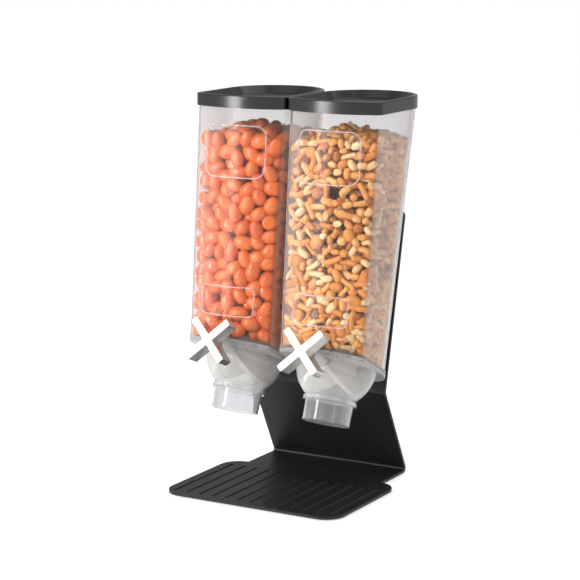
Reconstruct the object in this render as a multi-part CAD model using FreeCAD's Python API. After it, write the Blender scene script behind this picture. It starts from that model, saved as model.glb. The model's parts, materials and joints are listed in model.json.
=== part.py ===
import FreeCAD, Part
import math
import os

# Double cereal dispenser on a bent sheet-metal stand, millimetres.
# +X is the user's right, +Y goes to the back, +Z is up.  The origin is on the surface that
# the foot pads rest on, under the middle of the whole dispenser.
# Heights and depths below are measured from the underside and the front edge of the stand.

V = FreeCAD.Vector

# ---------------------------------------------------------------- stand, one bent sheet
sheet = 3.5                 # sheet thickness
base_width = 240.0          # wide front part of the base
base_depth = 164.0          # front edge to the step in to the neck
base_corner = 25.0          # plan radius of the four base corners
neck_width = 190.0          # neck, rear bend and upright panel
stand_depth = 235.7         # front edge to the rear bend
lower_lean = 27.6           # degrees, lower panel leans forward
lower_length = 128.6
upper_lean = 12.7           # degrees, upper panel leans back
upper_length = 224.3
bend_inside = 2.5           # inside radius of both bends
panel_corner = 7.0          # radius of the panel's top corners
slot_count = 13
slot_pitch = 17.67
slot_width = 4.0
slot_front = 9.5            # front end of the slots
slot_rear = 145.0
slot_end_round = 1.996      # just under half the slot's width
pad_radius = 6.0
pad_height = 1.5
front_pad_y = 22.0
rear_pad_y = 213.0
rear_pad_x = 80.0

# ---------------------------------------------------------------- hoppers
pitch = 127.6               # between the two hoppers' middle planes
wall = 3.0
mouth_z = 462.0             # where the taper ends and the straight collar begins
mouth_half_width = 60.3
mouth_front_y = 98.6        # the front corners, at the mouth
foot_z = 150.0              # height at which the lower section is given
loft_low_z = 91.0           # where the taper is drawn from, well below the lower edge
foot_half_width = 56.0
foot_front_y = 64.8
front_bow = 14.0            # how far the front wall bows out between its corners
corner_round = 6.0
rear_gap = 14.0             # from the panel to the hopper's rear wall
collar_height = 8.0
floor_thickness = 3.0
lip_height = 3.0            # raised lip round the hopper's lower edge
lip_proud = 1.0
ring_proud = 1.5            # raised ring round the shaft's boss
bead_proud = 0.9
bead_width = 1.8
label_width = 73.0          # lower raised frame, for a label card
label_height = 35.0
label_corner = 6.0
label_rise = 83.0           # its middle above foot_z
panel_frame_width = 83.0    # upper raised frame
panel_frame_height = 62.0
panel_frame_corner = 13.0
panel_frame_drop = 50.0     # its middle below mouth_z

# ---------------------------------------------------------------- hanging rails
rail_low = 96.0             # distances up the panel from the knee
rail_height = 62.0
rail_stem = 9.0
rail_head = 22.0
rail_stem_depth = 4.0
rail_head_depth = 3.0
plate_width = 54.0
plate_height = 84.0
plate_thickness = 2.5
plate_corner = 5.0
rail_clearance = 0.5
lug_wall = 5.5
lug_cap = 7.0               # closed top of the lug, which rests on the rail
lug_corner = 3.0
screw_radius = 2.0
screw_head_radius = 3.8
screw_head_height = 2.3
screw_head_round = 1.4
screw_socket_radius = 1.25
screw_socket_depth = 1.4
screw_hole_gap = 0.1        # between the shank and the hole in the panel
screw_spread_x = 42.0
screw_spread_z = 66.0

# ---------------------------------------------------------------- portion wheel and housing
wheel_tilt = 22.0           # degrees, the shaft runs down towards the back
outlet_tilt = 27.0          # degrees, the hopper's lower edge
wheel_setback = 41.7        # wheel centre behind the hopper's lower front corners
wheel_rise = 7.8            # wheel centre above foot_z
wheel_radius = 46.2
wheel_half_length = 36.2
wheel_clearance = 0.9
vane_thickness = 5.0
vane_turn = 45.0            # degrees, the vanes lie in line with the knob's arms
hub_radius = 10.0
hub_half_length = 34.0
core_radius = 7.0
housing_wall = 2.8
flange_thickness = 4.0
flange_low = -1.0           # underside of the flange, above the wheel centre
gasket_thickness = 1.0
neck_outside = 30.0
neck_inside = 27.0
neck_low = 44.0             # below the wheel centre
boss_radius = 8.5
boss_reach = 70.0           # front end of the boss, ahead of the wheel centre
rear_boss_reach = 47.0
boss_clearance = 0.8
boss_ring = 3.2             # width of the raised ring round the boss on the hopper

# ---------------------------------------------------------------- spout
collar_radius = 32.8
spout_collar_height = 6.0
spout_overlap = 4.0         # how far the collar goes up over the neck
spout_top_radius = 29.4
spout_foot_radius = 28.6
spout_wall = 2.2
spout_length = 24.0         # below the collar
spout_fit = 0.15
collar_round = 1.2
foot_bead = 0.5             # how far the bead round the spout's foot stands out
foot_bead_height = 1.8

# ---------------------------------------------------------------- shaft, bushes and knob
shaft_radius = 4.0
bush_radius = 6.0
bush_flange_radius = 8.0
bush_flange = 1.5
running_fit = 0.05
bush_setback = 0.4          # from the wheel chamber to the rear bush
seal_ring = 0.9             # radius of the seal ring's round section
seal_play = 0.2             # free length at each end of the seal ring
shaft_chamfer = 0.6
washer_radius = 8.5
washer_thickness = 1.5
knob_gap = 0.2
knob_stem_radius = 8.0
knob_stem = 2.6
knob_depth = 19.5
arm_reach = 34.0
arm_width = 9.4
arm_end_round = 2.2
arm_edge_round = 0.8
shaft_in_knob = 12.0
grub_radius = 2.0
grub_socket_radius = 1.0
grub_socket_depth = 1.2

# ---------------------------------------------------------------- lids
lid_low = 1.5               # skirt's lower edge above mouth_z
lid_height = 15.0
lid_gap = 0.4               # round the hopper's collar
lid_wall = 1.9
lid_corner = 1.6            # rounding of the lid's upper edge
seal_thickness = 1.6
seal_gap = 0.3
plug_gap = 0.7              # between the lid's plug and the hopper's inner wall
plug_wall = 2.2
pan_thickness = 2.4
recess_rim = 3.6            # width of the lid's flat rim
recess_slope = 7.0          # how far the recess walls lean in
recess_depth = 8.6

# ---------------------------------------------------------------- worked-out places
knee_y = stand_depth - lower_length * math.sin(math.radians(lower_lean))
knee_z = lower_length * math.cos(math.radians(lower_lean))
upper_slope = math.tan(math.radians(upper_lean))
panel_setback = sheet / math.cos(math.radians(upper_lean))
hopper_rim_z = mouth_z + collar_height
lid_z = mouth_z + lid_low
label_z = foot_z + label_rise
panel_frame_z = mouth_z - panel_frame_drop
lid_top_z = lid_z + lid_height
lid_grow = lid_gap + lid_wall
wheel_y = foot_front_y + wheel_setback
wheel_z = foot_z + wheel_rise
flange_top = flange_low + flange_thickness
floor_low = flange_top + gasket_thickness
knob_back = boss_reach + bush_flange + washer_thickness + 2.0 * knob_gap
housing_radius = wheel_radius + wheel_clearance
housing_half_length = wheel_half_length + wheel_clearance
arm_notch = arm_width / math.sqrt(2.0)   # from the shaft's axis to the corner between two arms
barrel_turn = math.radians(68.0)    # how far round its ellipse each half of a barrel runs
side_x = {"left": -pitch / 2.0, "right": pitch / 2.0}
spare = 1.0                 # how far a cutting shape runs past what it cuts
along_x = V(1, 0, 0)
along_y = V(0, 1, 0)
along_z = V(0, 0, 1)


def panel_front_y(z):
    """Depth of the upright panel's front face at a height."""
    return knee_y + (z - knee_z) * upper_slope - panel_setback


def rear_wall_y(z):
    """Depth of a hopper's rear wall on its middle plane."""
    return panel_front_y(z) - rear_gap / math.cos(math.radians(upper_lean))


depth_overall = rear_wall_y(mouth_z) + lid_grow
origin_shift = V(0, -depth_overall / 2.0, pad_height)


# ---------------------------------------------------------------- helpers
def box(x, y, z):
    """Box from three (low, high) pairs."""
    return Part.makeBox(x[1] - x[0], y[1] - y[0], z[1] - z[0], V(x[0], y[0], z[0]))


def rod(radius, start, end):
    """Cylinder round the shaft's axis, drawn along Y."""
    return Part.makeCylinder(radius, end - start, along_y * start, along_y)


def rounded_box(x, y, z, radius, axis):
    """Box whose four edges along one axis are rounded."""
    block = box(x, y, z)
    edges = []
    for edge in block.Edges:
        if abs(edge.tangentAt(edge.FirstParameter).dot(axis)) > 0.99:
            edges.append(edge)
    return block.makeFillet(radius, edges)


def in_wheel_frame(shape):
    """Place a shape that is drawn with the shaft along Y and the spout along -Z."""
    placed = shape.copy()
    turn = FreeCAD.Rotation(along_x, -wheel_tilt)
    placed.Placement = FreeCAD.Placement(V(0, wheel_y, wheel_z), turn)
    return placed


def in_panel_frame(shape):
    """Place a shape that is drawn on the panel: Y = 0 is its front face, Z runs up it from the knee."""
    placed = shape.copy()
    turn = FreeCAD.Rotation(along_x, -upper_lean)
    placed.Placement = FreeCAD.Placement(V(0, panel_front_y(knee_z), knee_z), turn)
    return placed


def outlet_slab(low, high):
    """Everything between two planes parallel to the hopper's lower edge."""
    reach = 3.0 * mouth_half_width
    slab = box((-reach, reach), (-reach, reach), (low, high))
    turn = FreeCAD.Rotation(along_x, -outlet_tilt)
    slab.Placement = FreeCAD.Placement(V(0, wheel_y, wheel_z), turn)
    return slab


def section(z, grow, level=None):
    """Plan outline of a hopper at a height: bowed front, straight sides, round back."""
    if level is None:
        level = z
    share = (z - foot_z) / (mouth_z - foot_z)
    half = foot_half_width + share * (mouth_half_width - foot_half_width) + grow
    front = foot_front_y + share * (mouth_front_y - foot_front_y) - grow
    back_centre = rear_wall_y(z) + grow - half
    bow_radius = (half ** 2 + front_bow ** 2) / (2.0 * front_bow)
    bow_centre = front - front_bow + bow_radius
    corner = max(corner_round + grow, 1.0)
    corner_x = half - corner
    corner_y = bow_centre - math.sqrt((bow_radius - corner) ** 2 - corner_x ** 2)
    reach = bow_radius / (bow_radius - corner)
    touch_x = corner_x * reach
    touch_y = bow_centre + (corner_y - bow_centre) * reach
    middle = V(half - corner_x, 0, 0) + V(touch_x - corner_x, touch_y - corner_y, 0)
    middle.normalize()
    middle = V(corner_x, corner_y, 0) + middle * corner

    def at(x, y):
        return V(x, y, level)

    edges = [
        Part.Arc(at(-touch_x, touch_y), at(0, front - front_bow), at(touch_x, touch_y)),
        Part.Arc(at(touch_x, touch_y), at(middle.x, middle.y), at(half, corner_y)),
        Part.LineSegment(at(half, corner_y), at(half, back_centre)),
        Part.Arc(at(half, back_centre), at(0, back_centre + half), at(-half, back_centre)),
        Part.LineSegment(at(-half, back_centre), at(-half, corner_y)),
        Part.Arc(at(-half, corner_y), at(-middle.x, middle.y), at(-touch_x, touch_y)),
    ]
    return Part.Wire([edge.toShape() for edge in edges])


def hopper_block(grow, top):
    """Solid inside a hopper's outline, from well below its lower edge up to a height."""
    wires = [section(loft_low_z, grow), section(mouth_z, grow), section(mouth_z, grow, top)]
    return Part.makeLoft(wires, True, True)


def mouth_prism(grow, low, high):
    """Upright prism with the mouth's outline."""
    return Part.Face(section(mouth_z, grow, low)).extrude(V(0, 0, high - low))


def barrel(radius, half_length):
    """Barrel round the wheel's axis, drawn with that axis along Y: an ellipse with its tips cut flat."""
    start = V(math.cos(barrel_turn), -math.sin(barrel_turn), 0)
    end = V(math.cos(barrel_turn), math.sin(barrel_turn), 0)
    curve = Part.Arc(start, along_x, end).toShape()
    stretch = FreeCAD.Matrix()
    stretch.scale(radius, half_length / math.sin(barrel_turn), 1.0)
    curve = curve.transformGeometry(stretch).Edges[0]
    low = V(0, -half_length, 0)
    high = V(0, half_length, 0)
    edges = [
        curve,
        Part.makeLine(curve.valueAt(curve.LastParameter), high),
        Part.makeLine(high, low),
        Part.makeLine(low, curve.valueAt(curve.FirstParameter)),
    ]
    return Part.Face(Part.Wire(edges)).revolve(V(0, 0, 0), along_y, 360)


def fuse_all(shapes):
    """One solid from several that touch."""
    whole = shapes[0]
    for shape in shapes[1:]:
        whole = whole.fuse(shape)
    return whole


# ---------------------------------------------------------------- stand
def make_stand():
    lower = math.radians(lower_lean)
    upper = math.radians(upper_lean)
    rear = V(0, stand_depth, 0)
    knee = V(0, knee_y, knee_z)
    top = knee + V(0, math.sin(upper), math.cos(upper)) * upper_length
    inner_top = top + V(0, -math.cos(upper), math.sin(upper)) * sheet
    inner_rear = V(0, stand_depth - sheet * math.tan((math.pi / 2.0 + lower) / 2.0), sheet)
    half_way = (lower - upper) / 2.0
    inward = V(0, -math.cos(half_way), -math.sin(half_way))
    inner_knee = knee + inward * (sheet / math.cos((lower + upper) / 2.0))
    outline = [V(0, 0, 0), rear, knee, top, inner_top, inner_knee, inner_rear, V(0, 0, sheet)]
    profile = Part.Face(Part.makePolygon(outline + [outline[0]]))
    profile.translate(V(-base_width / 2.0, 0, 0))
    plate = profile.extrude(V(base_width, 0, 0))
    plate = fillet_near(plate, rear, bend_inside + sheet)
    plate = fillet_near(plate, inner_knee, bend_inside + sheet)
    plate = fillet_near(plate, inner_rear, bend_inside)
    plate = fillet_near(plate, knee, bend_inside)
    half = base_width / 2.0
    neck = neck_width / 2.0
    rise = (-spare, knee_z + upper_length)
    wide = rounded_box((-half, half), (0, base_depth), rise, base_corner, along_z)
    narrow = box((-neck, neck), (base_depth - base_corner, 2.0 * stand_depth), rise)
    plate = plate.common(wide.fuse(narrow))
    plate = round_panel_top(plate, top)
    for index in range(slot_count):
        x = (index - (slot_count - 1) / 2.0) * slot_pitch
        sides = (x - slot_width / 2.0, x + slot_width / 2.0)
        rise = (-spare, sheet + spare)
        slot = rounded_box(sides, (slot_front, slot_rear), rise, slot_end_round, along_z)
        plate = plate.cut(slot)
    radius = screw_radius + screw_hole_gap
    for side in side_x.values():
        for x, z in screw_places():
            hole = Part.makeCylinder(radius, sheet + 2.0 * spare, V(x, -spare, z), along_y)
            hole = in_panel_frame(hole)
            hole.translate(V(side, 0, 0))
            plate = plate.cut(hole)
    return plate


def fillet_near(shape, point, radius):
    """Round the edge along X that passes nearest a point of the side profile."""
    best = None
    for edge in shape.Edges:
        along = edge.tangentAt(edge.FirstParameter)
        if abs(along.x) < 0.99:
            continue
        middle = edge.CenterOfMass
        distance = V(0, middle.y - point.y, middle.z - point.z).Length
        if best is None or distance < best[0]:
            best = (distance, edge)
    return shape.makeFillet(radius, [best[1]])


def round_panel_top(plate, top):
    """Round the two top corners of the upright panel."""
    edges = []
    for edge in plate.Edges:
        middle = edge.CenterOfMass
        if abs(edge.Length - sheet) < sheet / 10.0 and abs(middle.z - top.z) < 2.0 * sheet:
            edges.append(edge)
    return plate.makeFillet(panel_corner, edges)


def make_foot_pads():
    front_x = slot_pitch * (slot_count - 2) / 2.0
    pads = []
    for x, y in ((front_x, front_pad_y), (rear_pad_x, rear_pad_y)):
        for sign in (-1.0, 1.0):
            pads.append(Part.makeCylinder(pad_radius, pad_height, V(sign * x, y, -pad_height)))
    return Part.makeCompound(pads)


# ---------------------------------------------------------------- hanging rails
def screw_places():
    """Screw centres on one plate: across, and up the panel."""
    middle = rail_low + rail_height / 2.0
    places = []
    for x in (-screw_spread_x / 2.0, screw_spread_x / 2.0):
        for z in (middle - screw_spread_z / 2.0, middle + screw_spread_z / 2.0):
            places.append((x, z))
    return places


def make_hanging_rail():
    middle = rail_low + rail_height / 2.0
    half = plate_width / 2.0
    rise = (middle - plate_height / 2.0, middle + plate_height / 2.0)
    plate = rounded_box((-half, half), (-plate_thickness, 0), rise, plate_corner, along_y)
    stem_front = -plate_thickness - rail_stem_depth
    length = (rail_low, rail_low + rail_height)
    stem = box((-rail_stem / 2.0, rail_stem / 2.0), (stem_front, -plate_thickness), length)
    head = box((-rail_head / 2.0, rail_head / 2.0), (stem_front - rail_head_depth, stem_front), length)
    rail = fuse_all([plate, stem, head])
    for x, z in screw_places():
        start = V(x, -plate_thickness, z)
        rail = rail.cut(Part.makeCylinder(screw_radius, plate_thickness, start, along_y))
    return in_panel_frame(rail)


def make_rail_screws():
    shank_length = plate_thickness + sheet
    socket_start = sheet + screw_head_height - screw_socket_depth
    screws = []
    for side in side_x.values():
        for x, z in screw_places():
            shank = Part.makeCylinder(screw_radius, shank_length, V(x, -plate_thickness, z), along_y)
            head = Part.makeCylinder(screw_head_radius, screw_head_height, V(x, sheet, z), along_y)
            outer = [edge for edge in head.Edges if edge.BoundBox.YMin > sheet + spare]
            head = head.makeFillet(screw_head_round, outer)
            socket = Part.makeCylinder(screw_socket_radius, sheet, V(x, socket_start, z), along_y)
            screw = in_panel_frame(shank.fuse(head).cut(socket))
            screw.translate(V(side, 0, 0))
            screws.append(screw)
    return Part.makeCompound(screws)


# ---------------------------------------------------------------- hopper
def raised_frame(width, height, corner, centre_z):
    """Raised rounded frame on the front wall, still to be cut clear of the inside."""
    depth = (foot_front_y - 2.0 * front_bow, mouth_front_y)
    rise = (centre_z - height / 2.0, centre_z + height / 2.0)
    outer = rounded_box((-width / 2.0, width / 2.0), depth, rise, corner, along_y)
    half = width / 2.0 - bead_width
    rise = (rise[0] + bead_width, rise[1] - bead_width)
    inner = rounded_box((-half, half), depth, rise, corner - bead_width, along_y)
    return outer.cut(inner).common(hopper_block(bead_proud, hopper_rim_z))


def make_lug():
    """Channel behind the hopper that drops over the hanging rail."""
    half = rail_head / 2.0 + rail_clearance + lug_wall
    top = rail_low + rail_height + rail_clearance
    back = -plate_thickness - rail_clearance
    depth = (-rear_gap - 2.0 * wall, back)
    block = rounded_box((-half, half), depth, (rail_low, top + lug_cap), lug_corner, along_y)
    stem_front = -plate_thickness - rail_stem_depth
    head_front = stem_front - rail_head_depth
    rise = (rail_low - spare, top)
    half = rail_stem / 2.0 + rail_clearance
    stem_slot = box((-half, half), (stem_front, back + spare), rise)
    half = rail_head / 2.0 + rail_clearance
    depth = (head_front - rail_clearance, stem_front + rail_clearance)
    head_slot = box((-half, half), depth, rise)
    return in_panel_frame(block.cut(stem_slot.fuse(head_slot)))


def make_hopper():
    below = outlet_slab(-foot_z, floor_low)
    outside = hopper_block(0.0, hopper_rim_z).cut(below)
    inside = hopper_block(-wall, hopper_rim_z + spare)
    hollow = inside.cut(outlet_slab(-foot_z, floor_low + floor_thickness))
    lip = hopper_block(lip_proud, hopper_rim_z).common(outlet_slab(floor_low, floor_low + lip_height))
    way_radius = boss_radius + boss_clearance
    ring = rod(way_radius + boss_ring, -boss_reach, -wheel_half_length)
    ring = in_wheel_frame(ring).common(hopper_block(ring_proud, hopper_rim_z)).cut(below)
    label = raised_frame(label_width, label_height, label_corner, label_z)
    upper = raised_frame(panel_frame_width, panel_frame_height, panel_frame_corner, panel_frame_z)
    body = fuse_all([outside, lip, ring, label, upper, make_lug()])
    body = body.cut(hollow)
    body = body.cut(in_wheel_frame(barrel(housing_radius, housing_half_length)))
    return body.cut(in_wheel_frame(rod(way_radius, -boss_reach, rear_boss_reach + boss_clearance)))


# ---------------------------------------------------------------- lid
def make_lid():
    shell = mouth_prism(lid_grow, lid_z, lid_top_z)
    rim = [edge for edge in shell.Edges if edge.BoundBox.ZMin > lid_top_z - lid_corner]
    shell = shell.makeFillet(lid_corner, rim)
    below = lid_z - spare
    roof = hopper_rim_z + seal_gap + seal_thickness
    plug_grow = -wall - plug_gap
    channel = mouth_prism(lid_gap, below, roof).cut(mouth_prism(plug_grow, below, roof))
    pan_z = lid_top_z - recess_depth
    under = mouth_prism(plug_grow - plug_wall, below, pan_z - pan_thickness)
    edge_grow = lid_grow - recess_rim
    wires = [section(mouth_z, edge_grow - recess_slope, pan_z), section(mouth_z, edge_grow, lid_top_z)]
    return shell.cut(channel).cut(under).cut(Part.makeLoft(wires, True, True))


def make_lid_seal():
    low = hopper_rim_z + seal_gap
    outer = mouth_prism(lid_gap / 2.0, low, low + seal_thickness)
    return outer.cut(mouth_prism(-wall - plug_gap / 2.0, low, low + seal_thickness))


# ---------------------------------------------------------------- housing and spout
def make_housing():
    outer = barrel(housing_radius + housing_wall, housing_half_length + housing_wall)
    bowl = in_wheel_frame(outer).cut(outlet_slab(flange_top, foot_z))
    flange = hopper_block(lip_proud, hopper_rim_z).common(outlet_slab(flange_low, flange_top))
    neck = in_wheel_frame(Part.makeCylinder(neck_outside, neck_low, V(0, 0, -neck_low)))
    boss = in_wheel_frame(rod(boss_radius, -boss_reach, rear_boss_reach))
    body = fuse_all([bowl, flange, neck, boss])
    body = body.cut(in_wheel_frame(barrel(housing_radius, housing_half_length)))
    reach = housing_radius + 2.0 * housing_wall
    body = body.cut(in_wheel_frame(Part.makeCylinder(neck_inside, reach, V(0, 0, -reach))))
    bush_way = rod(bush_radius, -boss_reach - spare, rear_boss_reach - housing_wall)
    return body.cut(in_wheel_frame(bush_way))


def make_gasket():
    ring = hopper_block(-wall / 2.0, hopper_rim_z).common(outlet_slab(flange_top, floor_low))
    ring = ring.cut(in_wheel_frame(barrel(housing_radius + wheel_clearance, housing_half_length)))
    way = rod(boss_radius + boss_clearance, -boss_reach, rear_boss_reach + boss_clearance)
    return ring.cut(in_wheel_frame(way))


def make_spout():
    ledge = -neck_low
    collar_top = ledge + spout_overlap
    collar_low = collar_top - spout_collar_height
    foot = collar_low - spout_length
    collar = Part.makeCylinder(collar_radius, spout_collar_height, V(0, 0, collar_low))
    collar = collar.makeFillet(collar_round, [edge for edge in collar.Edges if edge.Closed])
    tube = Part.makeCone(spout_foot_radius, spout_top_radius, collar_low + spare - foot, V(0, 0, foot))
    bead = Part.makeCylinder(spout_foot_radius + foot_bead, foot_bead_height, V(0, 0, foot))
    socket = Part.makeCylinder(neck_outside + spout_fit, spout_overlap + spare, V(0, 0, ledge))
    foot_inside = spout_foot_radius - spout_wall
    top_inside = spout_top_radius - spout_wall
    bore = Part.makeCone(foot_inside, top_inside, ledge - foot, V(0, 0, foot))
    return in_wheel_frame(fuse_all([collar, tube, bead]).cut(socket).cut(bore))


# ---------------------------------------------------------------- wheel, shaft and bushes
def make_wheel():
    half = vane_thickness / 2.0
    length = (-wheel_half_length, wheel_half_length)
    upright = box((-half, half), length, (-wheel_radius, wheel_radius))
    level = box((-wheel_radius, wheel_radius), length, (-half, half))
    vanes = upright.fuse(level)
    vanes.rotate(V(0, 0, 0), along_y, vane_turn)
    vanes = vanes.common(barrel(wheel_radius, wheel_half_length))
    hub = rod(hub_radius, -hub_half_length, hub_half_length)
    bore = rod(core_radius, -wheel_radius, wheel_radius)
    return in_wheel_frame(vanes.fuse(hub).cut(bore))


def make_core():
    tube = rod(core_radius, -hub_half_length, hub_half_length)
    return in_wheel_frame(tube.cut(rod(shaft_radius, -wheel_radius, wheel_radius)))


def make_shaft():
    rear = rear_boss_reach - housing_wall - spare
    shaft = rod(shaft_radius, -knob_back - knob_stem - shaft_in_knob, rear)
    ends = [edge for edge in shaft.Edges if edge.Closed]
    return in_wheel_frame(shaft.makeChamfer(shaft_chamfer, ends))


def make_front_bush():
    end = -housing_half_length - 2.0 * (seal_ring + seal_play)
    sleeve = rod(bush_radius, -boss_reach, end)
    flange = rod(bush_flange_radius, -boss_reach - bush_flange, -boss_reach)
    bore = rod(shaft_radius + running_fit, -boss_reach - bush_flange - spare, 0.0)
    return in_wheel_frame(sleeve.fuse(flange).cut(bore))


def make_rear_bush():
    sleeve = rod(bush_radius, housing_half_length + bush_setback, rear_boss_reach - housing_wall)
    return in_wheel_frame(sleeve.cut(rod(shaft_radius + running_fit, 0.0, rear_boss_reach)))


def make_shaft_seal():
    middle = (shaft_radius + running_fit + bush_radius) / 2.0
    centre = along_y * (-housing_half_length - seal_ring - seal_play)
    return in_wheel_frame(Part.makeTorus(middle, seal_ring, centre, along_y))


def make_washer():
    near = -boss_reach - bush_flange - knob_gap
    far = near - washer_thickness
    disc = rod(washer_radius, far, near)
    return in_wheel_frame(disc.cut(rod(shaft_radius + running_fit, far - spare, near + spare)))


def grub_rod(low, high):
    """Upright round bar where the set screw that holds the knob on the shaft goes."""
    along = -knob_back - knob_stem - shaft_in_knob / 2.0
    return Part.makeCylinder(grub_radius, high - low, V(0, along, low))


def make_knob():
    arms_back = -knob_back - knob_stem
    front = arms_back - knob_depth
    half = arm_width / 2.0
    arm = rounded_box((-arm_reach, arm_reach), (front, arms_back), (-half, half), arm_end_round, along_y)
    arms = []
    for angle in (45, -45):
        turned = arm.copy()
        turned.rotate(V(0, 0, 0), along_y, angle)
        arms.append(turned)
    cross = fuse_all(arms).removeSplitter()
    face_edges = [edge for edge in cross.Edges if edge.BoundBox.YMax < front + arm_edge_round]
    cross = cross.makeFillet(arm_edge_round, face_edges)
    knob = cross.fuse(rod(knob_stem_radius, arms_back, -knob_back))
    knob = knob.cut(rod(shaft_radius, arms_back - shaft_in_knob, 0.0))
    return in_wheel_frame(knob.cut(grub_rod(-arm_notch - 2.0 * grub_radius, 0.0)))


def make_knob_screw():
    screw = grub_rod(-arm_notch, -shaft_radius)
    centre = screw.BoundBox.Center
    start = V(centre.x, centre.y, screw.BoundBox.ZMin)
    return in_wheel_frame(screw.cut(Part.makeCylinder(grub_socket_radius, grub_socket_depth, start)))


# ---------------------------------------------------------------- write one file per piece
def write(name, shape):
    moved = shape.copy()
    moved.translate(origin_shift)
    if not moved.isValid() or not moved.Solids:
        print("check", name, "valid", moved.isValid(), "solids", len(moved.Solids))
    if len(moved.Solids) == 1:
        moved = moved.Solids[0]
    moved.exportStep("parts/" + name + ".step")
    print(name, len(moved.Solids), round(moved.Volume / 1000.0, 2), "cm3")


def main():
    os.makedirs("parts", exist_ok=True)
    write("stand", make_stand())
    write("foot_pads", make_foot_pads())
    write("rail_screws", make_rail_screws())
    pieces = {
        "hanging_rail": make_hanging_rail,
        "hopper": make_hopper,
        "lid": make_lid,
        "lid_seal": make_lid_seal,
        "outlet_gasket": make_gasket,
        "wheel_housing": make_housing,
        "spout": make_spout,
        "portion_wheel": make_wheel,
        "wheel_core": make_core,
        "drive_shaft": make_shaft,
        "front_bush": make_front_bush,
        "rear_bush": make_rear_bush,
        "shaft_seal": make_shaft_seal,
        "thrust_washer": make_washer,
        "knob": make_knob,
        "knob_screw": make_knob_screw,
    }
    for name, make in pieces.items():
        shape = make()
        for side, x in side_x.items():
            placed = shape.copy()
            placed.translate(V(x, 0, 0))
            write(side + "_" + name, placed)


main()
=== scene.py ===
import bpy
import bmesh
import json
import math
import numpy as np
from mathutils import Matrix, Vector


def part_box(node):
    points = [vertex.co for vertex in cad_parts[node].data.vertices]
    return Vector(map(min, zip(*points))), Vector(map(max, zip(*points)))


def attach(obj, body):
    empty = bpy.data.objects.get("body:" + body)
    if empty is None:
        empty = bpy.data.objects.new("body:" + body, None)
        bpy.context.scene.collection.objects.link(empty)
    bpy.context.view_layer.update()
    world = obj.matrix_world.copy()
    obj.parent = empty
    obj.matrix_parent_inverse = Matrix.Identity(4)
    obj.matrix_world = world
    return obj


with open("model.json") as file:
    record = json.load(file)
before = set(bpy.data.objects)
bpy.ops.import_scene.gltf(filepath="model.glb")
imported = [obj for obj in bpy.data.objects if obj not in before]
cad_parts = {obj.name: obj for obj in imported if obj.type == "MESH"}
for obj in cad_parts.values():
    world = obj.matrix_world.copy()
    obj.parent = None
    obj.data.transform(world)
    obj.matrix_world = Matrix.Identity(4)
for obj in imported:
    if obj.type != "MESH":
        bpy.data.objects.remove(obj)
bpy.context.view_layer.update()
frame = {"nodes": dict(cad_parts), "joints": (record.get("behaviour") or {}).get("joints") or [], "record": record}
nodes = frame["nodes"]
sides = ("left", "right")
print("frame loaded,", len(nodes), "nodes")


def middleOf(node):
    low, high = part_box(node)
    return (low + high) / 2


sideX = {side: middleOf(side + "_hopper").x for side in sides}
hinge = {j["child"]: j for j in frame["joints"] if j["type"] == "hinge"}
wheelAt = Vector(hinge["left_rotor"]["pos_m"]) - Vector((sideX["left"], 0, 0))
shaftWay = Vector(hinge["left_rotor"]["axis"])     # towards the back and down


# camera and light

cameraSetup = {
    "place": (1.2298, -2.1464, 0.7154),
    "lookAt": (0.0262, -0.0595, 0.2565),
    "lens": 128.86,
    "sensor": 36.0,
}
camData = bpy.data.cameras.new("camera")
camData.lens = cameraSetup["lens"]
camData.sensor_width = cameraSetup["sensor"]
cam = bpy.data.objects.new("camera", camData)
cam.location = cameraSetup["place"]
look = Vector(cameraSetup["lookAt"]) - cam.location
cam.rotation_euler = look.to_track_quat("-Z", "Y").to_euler()
bpy.context.scene.collection.objects.link(cam)
bpy.context.scene.camera = cam

studio = {
    # how bright the room is from straight below to straight above
    "room": ((0.0, 0.14), (0.42, 0.2), (0.5, 0.5), (0.7, 0.4), (1.0, 0.3)),
    "backdrop": 1.0,
    "floorColour": (0.93, 0.93, 0.93),
    "floorGlow": (0.3, 0.62),      # towards the dispenser, and as the eye sees it
    "floorRoughness": (0.28, 0.34),
    "floorGrain": 40,
    "floorSize": 6.0,
    "evenLight": {"power": 0.25, "spread": 60, "turned": (38, 0, -12)},
    "lampsAimAt": (0, 0, 0.25),
    "softboxes": (
        # name, place, width, height, power, colour
        ("keySoftbox", (-1.1, -1.5, 1.5), 0.5, 0.5, 10, (1.0, 0.975, 0.94)),
        ("stripSoftbox", (-1.2, -1.9, 0.5), 0.5, 1.1, 15, (1.0, 0.99, 0.97)),
        ("fillSoftbox", (1.7, -0.7, 1.0), 1.1, 1.1, 3, (0.97, 0.98, 1.0)),
        ("topSoftbox", (0.1, 0.6, 1.8), 1.2, 1.2, 4, (1.0, 1.0, 1.0)),
    ),
}


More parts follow.
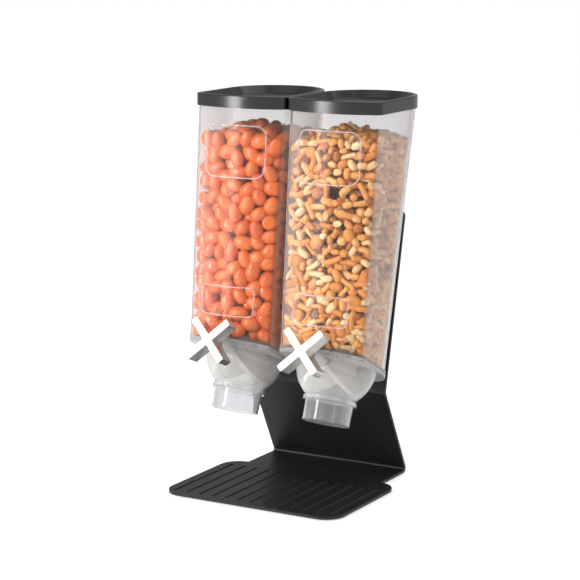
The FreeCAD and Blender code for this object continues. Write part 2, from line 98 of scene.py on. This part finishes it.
def makeRoom():
    # the backdrop is plain white, and what the surfaces mirror is a softly graded room
    world = bpy.data.worlds.new("studio")
    world.use_nodes = True
    tree = world.node_tree
    back = tree.nodes["Background"]
    coord = tree.nodes.new("ShaderNodeTexCoord")
    split = tree.nodes.new("ShaderNodeSeparateXYZ")
    level = tree.nodes.new("ShaderNodeMapRange")
    level.inputs["From Min"].default_value = -1
    ramp = tree.nodes.new("ShaderNodeValToRGB")
    ramp.color_ramp.elements.remove(ramp.color_ramp.elements[1])
    for i, (place, grey) in enumerate(studio["room"]):
        stop = ramp.color_ramp.elements[0] if i == 0 else ramp.color_ramp.elements.new(place)
        stop.position = place
        stop.color = (grey, grey, grey, 1)
    path = tree.nodes.new("ShaderNodeLightPath")
    seen = tree.nodes.new("ShaderNodeMix")
    seen.data_type = "RGBA"
    seen.inputs["B"].default_value = (studio["backdrop"],) * 3 + (1,)
    tree.links.new(coord.outputs["Generated"], split.inputs[0])
    tree.links.new(split.outputs["Z"], level.inputs["Value"])
    tree.links.new(level.outputs["Result"], ramp.inputs["Fac"])
    tree.links.new(path.outputs["Is Camera Ray"], seen.inputs["Factor"])
    tree.links.new(ramp.outputs["Color"], seen.inputs["A"])
    tree.links.new(seen.outputs["Result"], back.inputs["Color"])
    bpy.context.scene.world = world


makeRoom()
bpy.context.scene.view_settings.view_transform = "Standard"
for name, place, width, height, power, colour in studio["softboxes"]:
    lamp = bpy.data.lights.new(name, "AREA")
    lamp.shape = "RECTANGLE"
    lamp.size = width
    lamp.size_y = height
    lamp.energy = power
    lamp.color = colour
    holder = bpy.data.objects.new(name, lamp)
    holder.location = place
    aim = Vector(studio["lampsAimAt"]) - Vector(place)
    holder.rotation_euler = aim.to_track_quat("-Z", "Y").to_euler()
    bpy.context.scene.collection.objects.link(holder)
even = bpy.data.lights.new("evenLight", "SUN")
even.energy = studio["evenLight"]["power"]
even.angle = math.radians(studio["evenLight"]["spread"])
holder = bpy.data.objects.new("evenLight", even)
holder.rotation_euler = [math.radians(angle) for angle in studio["evenLight"]["turned"]]
bpy.context.scene.collection.objects.link(holder)
print("camera and lights placed")


# materials

def newMaterial(name, sockets):
    mat = bpy.data.materials.new(name)
    mat.use_nodes = True
    shader = mat.node_tree.nodes["Principled BSDF"]
    for socket, value in sockets.items():
        if isinstance(value, tuple):
            value = (*value, 1.0)
        shader.inputs[socket].default_value = value
    return mat, mat.node_tree, shader


def addNoise(tree, scale, detail=3.0, rough=0.5, distortion=0.0, stretch=None):
    coord = tree.nodes.new("ShaderNodeTexCoord")
    noise = tree.nodes.new("ShaderNodeTexNoise")
    noise.inputs["Scale"].default_value = scale
    noise.inputs["Detail"].default_value = detail
    noise.inputs["Roughness"].default_value = rough
    noise.inputs["Distortion"].default_value = distortion
    source = coord.outputs["Object"]
    if stretch:
        mapping = tree.nodes.new("ShaderNodeMapping")
        mapping.inputs["Scale"].default_value = stretch
        tree.links.new(source, mapping.inputs["Vector"])
        source = mapping.outputs["Vector"]
    tree.links.new(source, noise.inputs["Vector"])
    return noise.outputs["Fac"]


def spread(tree, value, low, high, fromLow=0.3, fromHigh=0.7):
    span = tree.nodes.new("ShaderNodeMapRange")
    span.inputs["From Min"].default_value = fromLow
    span.inputs["From Max"].default_value = fromHigh
    span.inputs["To Min"].default_value = low
    span.inputs["To Max"].default_value = high
    tree.links.new(value, span.inputs["Value"])
    return span.outputs["Result"]


def addBump(tree, shader, height, strength, distance):
    bump = tree.nodes.new("ShaderNodeBump")
    bump.inputs["Strength"].default_value = strength
    bump.inputs["Distance"].default_value = distance
    tree.links.new(height, bump.inputs["Height"])
    tree.links.new(bump.outputs["Normal"], shader.inputs["Normal"])


def tint(tree, shader, value, stops):
    ramp = tree.nodes.new("ShaderNodeValToRGB")
    ramp.color_ramp.elements[0].position = stops[0][0]
    ramp.color_ramp.elements[0].color = (*stops[0][1], 1)
    ramp.color_ramp.elements[1].position = stops[-1][0]
    ramp.color_ramp.elements[1].color = (*stops[-1][1], 1)
    for place, colour in stops[1:-1]:
        ramp.color_ramp.elements.new(place).color = (*colour, 1)
    tree.links.new(value, ramp.inputs["Fac"])
    tree.links.new(ramp.outputs["Color"], shader.inputs["Base Color"])
    return ramp


def powderCoat():
    look = {
        "black": (0.012, 0.012, 0.0125), "lighter": (0.02, 0.02, 0.021), "patches": 14,
        "grain": 900, "smooth": 0.36, "dull": 0.5, "bump": 0.22, "bumpHeight": 0.0002,
    }
    mat, tree, shader = newMaterial("blackPowderCoat", {"Specular IOR Level": 0.45})
    grain = addNoise(tree, look["grain"], 2.0)
    patches = addNoise(tree, look["patches"], 3.0)
    tint(tree, shader, patches, [(0.35, look["black"]), (0.7, look["lighter"])])
    tree.links.new(spread(tree, grain, look["smooth"], look["dull"]), shader.inputs["Roughness"])
    addBump(tree, shader, grain, look["bump"], look["bumpHeight"])
    return mat


def mouldedBlack():
    look = {
        "black": (0.006, 0.006, 0.0065), "lighter": (0.009, 0.009, 0.0095), "sink": 22,
        "grain": 2200, "smooth": 0.2, "dull": 0.26, "bump": 0.08, "bumpHeight": 0.0001,
    }
    mat, tree, shader = newMaterial("blackMouldedPlastic", {"Specular IOR Level": 0.9})
    grain = addNoise(tree, look["grain"], 2.0)
    sink = addNoise(tree, look["sink"], 2.0)
    tint(tree, shader, sink, [(0.3, look["black"]), (0.75, look["lighter"])])
    tree.links.new(spread(tree, sink, look["smooth"], look["dull"]), shader.inputs["Roughness"])
    addBump(tree, shader, grain, look["bump"], look["bumpHeight"])
    return mat


edgeShadeAndSheen = {
    # where a clear part, seen more and more edge on, gets painted shade as a darker tint and a painted reflection
    # of the room as a milky veil
    "blend": 0.35, "edgeShadeFrom": 0.35, "edgeShadeTo": 0.95,
    "paintedSheenFrom": 0.12, "paintedSheenTo": 0.9, "rippleHeight": 0.0004,
}


def clearMoulding(name, look):
    # lamps pass straight through, so what is inside stays lit
    mat, tree, shader = newMaterial(name, {
        "IOR": look["ior"],
        "Specular IOR Level": 0.5,
        "Coat Weight": look["gloss"],
        "Coat Roughness": look["glossBlur"],
    })
    # painted by viewing angle: the tint towards the edge colour is painted shade
    edge = tree.nodes.new("ShaderNodeLayerWeight")
    edge.inputs["Blend"].default_value = edgeShadeAndSheen["blend"]
    facing = edge.outputs["Facing"]
    stops = [(edgeShadeAndSheen["edgeShadeFrom"], look["colour"]), (edgeShadeAndSheen["edgeShadeTo"], look["edge"])]
    tint(tree, shader, facing, stops)
    # clearness face on, and lower edge on, where the milky veil is a painted reflection
    clear, paintedSheenClearness = look["clear"]
    tree.links.new(spread(tree, facing, clear, paintedSheenClearness, edgeShadeAndSheen["paintedSheenFrom"], edgeShadeAndSheen["paintedSheenTo"]),
                   shader.inputs["Transmission Weight"])
    haze = addNoise(tree, look["mottle"], 3.0)
    tree.links.new(spread(tree, haze, look["smooth"], look["dull"]), shader.inputs["Roughness"])
    ripple = addNoise(tree, look["ripple"], 1.0)
    addBump(tree, shader, ripple, look["rippleDepth"], edgeShadeAndSheen["rippleHeight"])
    path = tree.nodes.new("ShaderNodeLightPath")
    through = tree.nodes.new("ShaderNodeBsdfTransparent")
    through.inputs["Color"].default_value = (*look["lampTint"], 1)
    either = tree.nodes.new("ShaderNodeMixShader")
    tree.links.new(path.outputs["Is Shadow Ray"], either.inputs[0])
    tree.links.new(shader.outputs[0], either.inputs[1])
    tree.links.new(through.outputs[0], either.inputs[2])
    tree.links.new(either.outputs[0], tree.nodes["Material Output"].inputs["Surface"])
    return mat


clearLooks = {
    # edge: painted shade tint seen edge on; clear: clearness face on and edge on, the edge-on drop being a painted
    # reflection
    "hopper": {
        "colour": (0.992, 0.98, 0.982), "edge": (0.9, 0.84, 0.85), "lampTint": (0.96, 0.95, 0.95),
        "ior": 1.1, "gloss": 0.15, "glossBlur": 0.25, "clear": (0.985, 0.5),
        "smooth": 0.02, "dull": 0.06, "mottle": 30, "ripple": 12, "rippleDepth": 0.15,
    },
    "housing": {
        "colour": (0.97, 0.965, 0.955), "edge": (0.82, 0.8, 0.79), "lampTint": (0.9, 0.9, 0.9),
        "ior": 1.25, "gloss": 0.3, "glossBlur": 0.1, "clear": (0.77, 0.5),
        "smooth": 0.07, "dull": 0.14, "mottle": 40, "ripple": 20, "rippleDepth": 0.2,
    },
    "spout": {
        "colour": (0.95, 0.945, 0.97), "edge": (0.6, 0.6, 0.66), "lampTint": (0.92, 0.92, 0.93),
        "ior": 1.4, "gloss": 0.3, "glossBlur": 0.05, "clear": (0.93, 0.8),
        "smooth": 0.02, "dull": 0.06, "mottle": 40, "ripple": 25, "rippleDepth": 0.15,
    },
    # the frame beads' pale pink is a painted highlight along their outlines
    "frame": {
        "colour": (0.98, 0.86, 0.86), "edge": (0.93, 0.72, 0.73), "lampTint": (0.9, 0.88, 0.88),
        "ior": 1.3, "gloss": 0.4, "glossBlur": 0.1, "clear": (0.7, 0.5),
        "smooth": 0.15, "dull": 0.3, "mottle": 60, "ripple": 40, "rippleDepth": 0.1,
    },
}


def polishedMetal():
    look = {"streaks": 60, "along": (1, 12, 1), "smooth": 0.22, "dull": 0.28, "grain": 900}
    mat, tree, shader = newMaterial("polishedMetal", {"Base Color": (0.80, 0.78, 0.75), "Metallic": 1.0})
    streaks = addNoise(tree, look["streaks"], 4.0, stretch=look["along"])
    tree.links.new(spread(tree, streaks, look["smooth"], look["dull"]), shader.inputs["Roughness"])
    addBump(tree, shader, addNoise(tree, look["grain"], 2.0), 0.02, 0.00005)
    return mat


def turnedSteel():
    look = {"streaks": 300, "along": (1, 6, 1), "smooth": 0.22, "dull": 0.38}
    mat, tree, shader = newMaterial("turnedSteel", {"Base Color": (0.55, 0.54, 0.52), "Metallic": 1.0})
    streaks = addNoise(tree, look["streaks"], 3.0, stretch=look["along"])
    tree.links.new(spread(tree, streaks, look["smooth"], look["dull"]), shader.inputs["Roughness"])
    addBump(tree, shader, streaks, 0.1, 0.0001)
    return mat


def softSilicone(name, pale, deep, roughness):
    mat, tree, shader = newMaterial(name, {"Subsurface Weight": 0.25, "Subsurface Scale": 0.004})
    shader.inputs["Subsurface Radius"].default_value = (1.0, 0.8, 0.7)
    cloud = addNoise(tree, 45, 3.0)
    tint(tree, shader, cloud, [(0.3, deep), (0.7, pale)])
    tree.links.new(spread(tree, cloud, roughness, roughness + 0.12), shader.inputs["Roughness"])
    addBump(tree, shader, addNoise(tree, 700, 2.0), 0.1, 0.0002)
    return mat


def blackRubber():
    look = {
        "black": (0.014, 0.014, 0.014), "worn": (0.03, 0.03, 0.03),
        "grain": 1500, "smooth": 0.6, "dull": 0.8,
    }
    mat, tree, shader = newMaterial("blackRubber", {"Specular IOR Level": 0.3})
    grain = addNoise(tree, look["grain"], 2.0)
    tint(tree, shader, grain, [(0.3, look["black"]), (0.7, look["worn"])])
    tree.links.new(spread(tree, grain, look["smooth"], look["dull"]), shader.inputs["Roughness"])
    addBump(tree, shader, grain, 0.3, 0.0002)
    return mat


def foodMaterial(name, look):
    mat, tree, shader = newMaterial(name, look["sockets"])
    tone = tree.nodes.new("ShaderNodeAttribute")
    tone.attribute_name = "tone"
    blotch = addNoise(tree, look["blotch"], 4.0)
    mix = tree.nodes.new("ShaderNodeMath")
    mix.operation = "MULTIPLY_ADD"
    mix.inputs[1].default_value = look["blotchShare"]
    tree.links.new(blotch, mix.inputs[0])
    tree.links.new(tone.outputs["Fac"], mix.inputs[2])
    tint(tree, shader, mix.outputs[0], look["stops"])
    tree.links.new(spread(tree, blotch, look["smooth"], look["dull"]), shader.inputs["Roughness"])
    addBump(tree, shader, addNoise(tree, look["grain"], 3.0), look["bump"], look["bumpHeight"])
    return mat


materials = {
    "powder_coat": powderCoat(),
    "black_plastic": mouldedBlack(),
    "clear_polycarbonate": clearMoulding("clearHopper", clearLooks["hopper"]),
    "clear_housing": clearMoulding("frostedHousing", clearLooks["housing"]),
    "clear_spout": clearMoulding("clearSpout", clearLooks["spout"]),
    "chrome": polishedMetal(),
    "stainless": turnedSteel(),
    "white_silicone": softSilicone("whiteSilicone", (0.86, 0.85, 0.83), (0.8, 0.78, 0.76), 0.4),
    "silicone": softSilicone("greySilicone", (0.7, 0.7, 0.69), (0.6, 0.6, 0.6), 0.35),
    "white_plastic": softSilicone("whiteAcetal", (0.84, 0.84, 0.82), (0.78, 0.78, 0.77), 0.3),
    "black_rubber": blackRubber(),
}
materials["black_steel"] = materials["powder_coat"]
slotOf = {part["node"]: part["material_slot"] for part in frame["record"]["subparts"]}
for name, node in nodes.items():
    node.data.materials.clear()
    node.data.materials.append(materials[slotOf[name]])
print("materials made:", len(materials))

edgeAngle = math.radians(35)       # sharper edges than this are rounded
softEdges = {
    # node: edge rounding in metres, segments
    "stand": (0.0005, 2),
    "left_lid": (0.0005, 3),
    "right_lid": (0.0005, 3),
    "left_knob": (0.0004, 2),
    "right_knob": (0.0004, 2),
}
for name, (width, segments) in softEdges.items():
    bevel = nodes[name].modifiers.new("softEdges", "BEVEL")
    bevel.width = width
    bevel.segments = segments
    bevel.limit_method = "ANGLE"
    bevel.angle_limit = edgeAngle
    bevel.harden_normals = True
print("edges rounded")


# shapes shared by the hopper and what is in it

hopperShape = {
    "footZ": 0.1515, "mouthZ": 0.4635, "rimZ": 0.4715,
    "footHalf": 0.0560, "mouthHalf": 0.0603,
    "footFront": -0.05466, "mouthFront": -0.02086,
    "rearY": 0.03873, "rearZ": 0.11547, "rearSlope": 0.22536,
    "bow": 0.014, "wall": 0.003,
    "edgeTilt": math.radians(27), "floorRise": 0.007,
}


def hopperSpan(z):
    # half width, front corners' depth and rear wall's depth at a height
    h = hopperShape
    share = (np.minimum(z, h["mouthZ"]) - h["footZ"]) / (h["mouthZ"] - h["footZ"])
    half = h["footHalf"] + share * (h["mouthHalf"] - h["footHalf"])
    front = h["footFront"] + share * (h["mouthFront"] - h["footFront"])
    rear = h["rearY"] + (np.minimum(z, h["mouthZ"]) - h["rearZ"]) * h["rearSlope"]
    return half, front, rear


def keepInside(points, radius, top):
    # moves points back inside the hopper, and returns the way out at each one
    h = hopperShape
    outward = np.zeros_like(points)
    gap = h["wall"] + radius
    points[:, 2] = np.minimum(points[:, 2], top - radius)
    tilt = h["edgeTilt"]
    normal = np.array([0, math.sin(tilt), math.cos(tilt)])
    rise = (points - np.array(wheelAt)) @ normal - h["floorRise"] - radius
    low = rise < 0
    points[low] -= rise[low, None] * normal
    half, front, rear = hopperSpan(points[:, 2])
    wallX = half - gap
    over = np.abs(points[:, 0]) > wallX
    points[:, 0] = np.clip(points[:, 0], -wallX, wallX)
    outward[over, 0] = np.sign(points[over, 0])
    bowed = front - h["bow"] * (1 - (points[:, 0] / half) ** 2) + gap
    near = points[:, 1] < bowed
    points[:, 1] = np.maximum(points[:, 1], bowed)
    outward[near] = (0, -1, 0)
    centre = rear - half
    back = points[:, 1] > centre
    away = np.hypot(points[:, 0], points[:, 1] - centre)
    shrink = np.where(back & (away > wallX), wallX / np.maximum(away, 1e-6), 1.0)
    curved = back & (shrink < 1)
    far = np.maximum(away, 1e-6)
    outward[curved, 0] = (points[:, 0] / far)[curved]
    outward[curved, 1] = ((points[:, 1] - centre) / far)[curved]
    points[:, 0] *= shrink
    points[:, 1] = centre * (1 - shrink) + points[:, 1] * shrink
    return outward


wheelSpace = {"radius": 0.0471, "half": 0.0371, "curve": 0.0400, "thinnest": 0.02}


def keepOffWheel(points, radius):
    way = np.array(shaftWay)
    offset = points - np.array(wheelAt)
    along = offset @ way
    across = offset - along[:, None] * way
    size = np.linalg.norm(across, axis=1)
    bulge = np.maximum(1 - (along / wheelSpace["curve"]) ** 2, wheelSpace["thinnest"])
    inner = wheelSpace["radius"] * np.sqrt(bulge)
    inner = np.where(np.abs(along) < wheelSpace["half"] + radius, inner + radius, 0)
    push = np.maximum(inner - size, 0)
    points += across / np.maximum(size, 1e-6)[:, None] * push[:, None]


# what the hoppers hold

def settle(points, radii, top, rounds):
    # pushes overlapping pieces apart until they lie side by side
    cell = 2.2 * radii.max()       # only neighbours in the same or the next cell can touch
    near = (-1, 0, 1)
    steps = [(x, y, z) for x in near for y in near for z in near if (x, y, z) >= (0, 0, 0)]
    outward = np.zeros_like(points)
    for _ in range(rounds):
        grid = {}
        for i, key in enumerate(map(tuple, np.floor(points / cell).astype(int))):
            grid.setdefault(key, []).append(i)
        first, second = [], []
        for key, members in grid.items():
            for step in steps:
                other = grid.get((key[0] + step[0], key[1] + step[1], key[2] + step[2]))
                if other is None:
                    continue
                for i in members:
                    for j in other:
                        if step != (0, 0, 0) or i < j:
                            first.append(i)
                            second.append(j)
        first = np.array(first)
        second = np.array(second)
        between = points[second] - points[first]
        distance = np.linalg.norm(between, axis=1)
        wanted = radii[first] + radii[second]
        close = distance < wanted
        first, second = first[close], second[close]
        push = between[close] / np.maximum(distance[close], 1e-6)[:, None]
        push *= (0.5 * (wanted - distance)[close])[:, None]
        np.add.at(points, first, -push)
        np.add.at(points, second, push)
        keepOffWheel(points, radii)
        outward = keepInside(points, radii, top)
    return outward


heapShape = {
    "lowest": 0.13,          # where the food starts above the floor
    "uneven": 0.8,           # how bumpy the top is, in pieces
    "slope": 0.27,           # how fast the top falls towards the walls
    "middle": 0.04,          # from the mouth's front corners back to the peak
    "headroom": 0.02, "wheelGap": 0.0005,
    "lumpScale": 4, "lumpShift": 6, "thickness": (0.92, 1.06),
}


def fillHopper(count, radius, vary, top, seed, rounds):
    rng = np.random.default_rng(seed)
    h = hopperShape
    points = []
    while len(points) < count:
        z = rng.uniform(heapShape["lowest"], top)
        half, front, rear = hopperSpan(z)
        x = rng.uniform(-half, half)
        y = rng.uniform(front - h["bow"], rear)
        points.append((x, y, z))
    points = np.array(points)
    radii = radius * rng.uniform(1 - vary, 1 + vary, count)
    # heaped in the middle, lower along the walls
    fromMiddle = np.hypot(points[:, 0], points[:, 1] - h["mouthFront"] - heapShape["middle"])
    tops = top - rng.uniform(0, heapShape["uneven"] * radius, count) - heapShape["slope"] * fromMiddle
    outward = settle(points, radii, tops, rounds)
    return points, radii, outward, rng


def roundedForm(rings, segments, profile):
    # a closed form round its X axis: profile gives (x, y size, z size) ring by ring
    verts = [(profile(0.0)[0], 0, 0)]
    for r in range(1, rings):
        x, high, deep = profile(r / rings)
        for s in range(segments):
            turn = 2 * math.pi * s / segments
            verts.append((x, high * math.cos(turn), deep * math.sin(turn)))
    verts.append((profile(1.0)[0], 0, 0))
    last = len(verts) - 1
    faces = []
    for s in range(segments):
        n = (s + 1) % segments
        faces.append((0, 1 + n, 1 + s))
        faces.append((last, last - segments + s, last - segments + n))
        for r in range(rings - 2):
            a = 1 + r * segments
            b = a + segments
            faces.append((a + s, a + n, b + n, b + s))
    return np.array(verts), faces


almondShape = {"long": 1.3, "wide": 0.98, "egg": 0.06, "thick": 0.92, "blunt": 0.92}
stickShape = {"long": 2.1, "wide": 0.74, "thick": 0.62, "straight": 1.9, "blunt": 0.6}
peanutShape = {"long": 1.45, "wide": 0.95, "thick": 0.85, "blunt": 0.8,
               "waist": 0.12, "waistAt": 0.55, "waistLong": 0.16}
chunkShape = {"long": 1.1, "wide": 1.0, "thick": 0.72, "bluntWide": 0.7, "bluntThick": 0.5}


def almondForm(t):
    s = almondShape
    turn = math.pi * t
    size = math.sin(turn) ** s["blunt"]
    return -math.cos(turn) * s["long"], size * (s["wide"] - s["egg"] * math.cos(turn)), size * s["thick"]


def stickForm(t):
    s = stickShape
    turn = math.pi * t
    size = min(1.0, s["straight"] * math.sin(turn)) ** s["blunt"]
    return -math.cos(turn) * s["long"], size * s["wide"], size * s["thick"]


def peanutForm(t):
    s = peanutShape
    turn = math.pi * t
    waist = 1.0 - s["waist"] * math.exp(-((t - s["waistAt"]) / s["waistLong"]) ** 2)
    size = math.sin(turn) ** s["blunt"] * waist
    return -math.cos(turn) * s["long"], size * s["wide"], size * s["thick"]


def chunkForm(t):
    s = chunkShape
    turn = math.pi * t
    wide = math.sin(turn) ** s["bluntWide"] * s["wide"]
    thick = math.sin(turn) ** s["bluntThick"] * s["thick"]
    return -math.cos(turn) * s["long"], wide, thick


def heap(name, side, fill, forms, material):
    points, radii, outward, rng = fillHopper(fill["count"], fill["radius"], fill["vary"], fill["top"],
                                             fill["seed"], fill["rounds"])
    half, front, rear = hopperSpan(points[:, 2])
    # only the pieces near the walls and the top are ever seen
    deep = np.minimum(half - np.abs(points[:, 0]), points[:, 1] - (front - hopperShape["bow"]))
    deep = np.minimum(deep, rear - points[:, 1])
    deep = np.minimum(deep, fill["top"] - points[:, 2])
    shown = np.nonzero(deep < fill["shell"])[0]
    verts, faces, tones = [], [], []
    start = 0
    for i in shown:
        form = forms[rng.choice(len(forms), p=fill["shares"])]
        shape, shapeFaces = form["mesh"]
        long = rng.normal(size=3)
        long[2] *= fill["lieFlat"]
        long -= outward[i] * (long @ outward[i])
        long /= np.linalg.norm(long)
        other = np.cross(long, rng.normal(size=3))
        other /= np.linalg.norm(other)
        basis = np.array([long, other, np.cross(long, other)])
        stretch = np.array([rng.uniform(*form["length"]), rng.uniform(*heapShape["thickness"]), 1.0])
        size = radii[i] * form["size"] * stretch
        lumps = shape @ rng.normal(size=3) * heapShape["lumpScale"] + rng.uniform(0, heapShape["lumpShift"])
        wobble = 1 + fill["lumps"] * np.sin(lumps)
        placed = (shape * wobble[:, None] * size) @ basis + points[i]
        if form["bend"]:
            bow = form["bend"] * radii[i] * rng.uniform(-1, 1)
            placed += basis[1] * bow * (shape[:, :1] ** 2 / 4 - 1)
        keepInside(placed, fill["wallGap"], fill["top"] + heapShape["headroom"])
        verts.append(placed)
        faces += [tuple(start + v for v in face) for face in shapeFaces]
        tones += [rng.uniform(*form["tone"])] * len(shape)
        start += len(shape)
    verts = np.concatenate(verts)
    keepOffWheel(verts, heapShape["wheelGap"])
    verts[:, 0] += sideX[side]
    mesh = bpy.data.meshes.new(name)
    mesh.from_pydata(verts.tolist(), [], faces)
    tone = mesh.attributes.new("tone", "FLOAT", "POINT")
    tone.data.foreach_set("value", np.array(tones, np.float32))
    mesh.shade_smooth()
    mesh.materials.append(material)
    piece = bpy.data.objects.new(name, mesh)
    bpy.context.scene.collection.objects.link(piece)
    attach(piece, side + "_hopper")
    print(name, "made of", len(shown), "pieces")
    return piece


sugaredNuts = {
    "count": 600, "radius": 0.0095, "vary": 0.12, "top": 0.4530,
    "wallGap": 0.0004, "seed": 11, "rounds": 60,
    "shell": 0.05,           # how deep the pieces are still made
    "lieFlat": 0.8, "lumps": 0.015, "shares": [1.0],
    "colour": {
        "sockets": {"Coat Weight": 0.8, "Coat Roughness": 0.14, "Specular IOR Level": 0.5},
        "blotch": 120, "blotchShare": 0.25, "smooth": 0.3, "dull": 0.46,
        "grain": 500, "bump": 0.18, "bumpHeight": 0.0006,
        "stops": [(0.1, (0.62, 0.08, 0.006)), (0.5, (0.76, 0.145, 0.010)), (0.95, (0.82, 0.22, 0.02))],
    },
}
almond = {
    "mesh": roundedForm(12, 16, almondForm),
    "size": 1.0, "length": (0.9, 1.08), "tone": (0.25, 0.6), "bend": 0,
}
heap("left_sugared_nuts", "left", sugaredNuts, [almond], foodMaterial("sugarCoating", sugaredNuts["colour"]))

snackMix = {
    "count": 2700, "radius": 0.0056, "vary": 0.2, "top": 0.4510,
    "wallGap": 0.0004, "seed": 23, "rounds": 40,
    "shell": 0.03, "lieFlat": 0.55, "lumps": 0.06, "shares": [0.42, 0.33, 0.2, 0.05],
    "colour": {
        "sockets": {"Specular IOR Level": 0.45},
        "blotch": 260, "blotchShare": 0.22, "smooth": 0.42, "dull": 0.62,
        "grain": 900, "bump": 0.45, "bumpHeight": 0.0006,
        "stops": [(0.05, (0.16, 0.045, 0.015)), (0.25, (0.50, 0.17, 0.035)), (0.5, (0.76, 0.30, 0.06)),
                  (0.75, (0.84, 0.44, 0.13)), (0.95, (0.88, 0.66, 0.36))],
    },
}
mixForms = [
    # sticks
    {"mesh": roundedForm(10, 8, stickForm),
     "size": 0.92, "length": (0.6, 1.15), "tone": (0.25, 0.8), "bend": 0.25},
    # peanuts
    {"mesh": roundedForm(8, 10, peanutForm),
     "size": 0.92, "length": (0.8, 1.05), "tone": (0.35, 1.0), "bend": 0.0},
    # chunks
    {"mesh": roundedForm(7, 9, chunkForm),
     "size": 1.05, "length": (0.7, 1.1), "tone": (0.0, 0.7), "bend": 0.1},
    # big round pieces
    {"mesh": roundedForm(8, 10, peanutForm),
     "size": 1.5, "length": (0.6, 0.8), "tone": (0.3, 0.45), "bend": 0.0},
]
heap("right_snack_mix", "right", snackMix, mixForms, foodMaterial("roastedMix", snackMix["colour"]))


# raised frames on the hoppers' fronts

frontFrames = {
    # name: width, height, corner radius, height of the middle above the floor
    "label": (0.0730, 0.0350, 0.0060, 0.2345),
    "upper": (0.0830, 0.0620, 0.0130, 0.4135),
    "beadHalf": 0.0008, "beadProud": 0.0009, "around": 8, "perCorner": 8, "perStraight": 12,
}


def frontWallY(x, z):
    half, front, rear = hopperSpan(z)
    bow = hopperShape["bow"]
    radius = (half ** 2 + bow ** 2) / (2 * bow)
    return front - bow + radius - math.sqrt(radius ** 2 - x ** 2)


def roundedPath(width, height, corner, middleZ):
    points = []
    for cx, cz, start in ((1, 1, 0), (-1, 1, 90), (-1, -1, 180), (1, -1, 270)):
        for step in range(frontFrames["perCorner"] + 1):
            turn = math.radians(start + 90 * step / frontFrames["perCorner"])
            points.append((cx * (width / 2 - corner) + corner * math.cos(turn),
                           middleZ + cz * (height / 2 - corner) + corner * math.sin(turn)))
    full = []
    for (x0, z0), (x1, z1) in zip(points, points[1:] + points[:1]):
        steps = frontFrames["perStraight"] if math.hypot(x1 - x0, z1 - z0) > corner else 1
        full += [(x0 + (x1 - x0) * k / steps, z0 + (z1 - z0) * k / steps) for k in range(steps)]
    return full


def makeFrames(side, material):
    form = bmesh.new()
    for which in ("label", "upper"):
        path = roundedPath(*frontFrames[which])
        rings = []
        for i, (x, z) in enumerate(path):
            before, after = path[i - 1], path[(i + 1) % len(path)]
            along = Vector((after[0] - before[0], 0, after[1] - before[1])).normalized()
            across = along.cross(Vector((0, -1, 0)))
            centre = Vector((x, frontWallY(x, z), z))
            ring = []
            for k in range(frontFrames["around"]):
                turn = 2 * math.pi * k / frontFrames["around"]
                offset = across * (frontFrames["beadHalf"] * math.cos(turn))
                offset += Vector((0, -1, 0)) * (frontFrames["beadProud"] * math.sin(turn))
                ring.append(form.verts.new(centre + offset + Vector((sideX[side], 0, 0))))
            rings.append(ring)
        for ring, other in zip(rings, rings[1:] + rings[:1]):
            for k in range(len(ring)):
                n = (k + 1) % len(ring)
                form.faces.new((ring[k], ring[n], other[n], other[k]))
    bmesh.ops.recalc_face_normals(form, faces=form.faces)
    mesh = bpy.data.meshes.new(side + "_front_frames")
    form.to_mesh(mesh)
    form.free()
    mesh.shade_smooth()
    mesh.materials.append(material)
    piece = bpy.data.objects.new(side + "_front_frames", mesh)
    bpy.context.scene.collection.objects.link(piece)
    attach(piece, side + "_hopper")


# clear beads painted pale pink, a painted highlight on their outlines
paintedHighlightFrame = clearMoulding("paintedHighlightFrame", clearLooks["frame"])
for side in sides:
    makeFrames(side, paintedHighlightFrame)
print("front frames made")


# floor

def makeFloor():
    size = studio["floorSize"]
    mesh = bpy.data.meshes.new("floor")
    corners = [(-size, -size, 0), (size, -size, 0), (size, size, 0), (-size, size, 0)]
    mesh.from_pydata(corners, [], [(0, 1, 2, 3)])
    floor = bpy.data.objects.new("floor", mesh)
    bpy.context.scene.collection.objects.link(floor)
    sockets = {"Base Color": studio["floorColour"], "Specular IOR Level": 0.4}
    mat, tree, shader = newMaterial("paleFloor", sockets)
    grain = addNoise(tree, studio["floorGrain"], 2.0)
    tree.links.new(spread(tree, grain, *studio["floorRoughness"]), shader.inputs["Roughness"])
    # a lit table top, brighter to the eye than to the dispenser
    path = tree.nodes.new("ShaderNodeLightPath")
    shader.inputs["Emission Color"].default_value = (1, 1, 1, 1)
    tree.links.new(spread(tree, path.outputs["Is Camera Ray"], *studio["floorGlow"], 0, 1),
                   shader.inputs["Emission Strength"])
    mesh.materials.append(mat)


makeFloor()
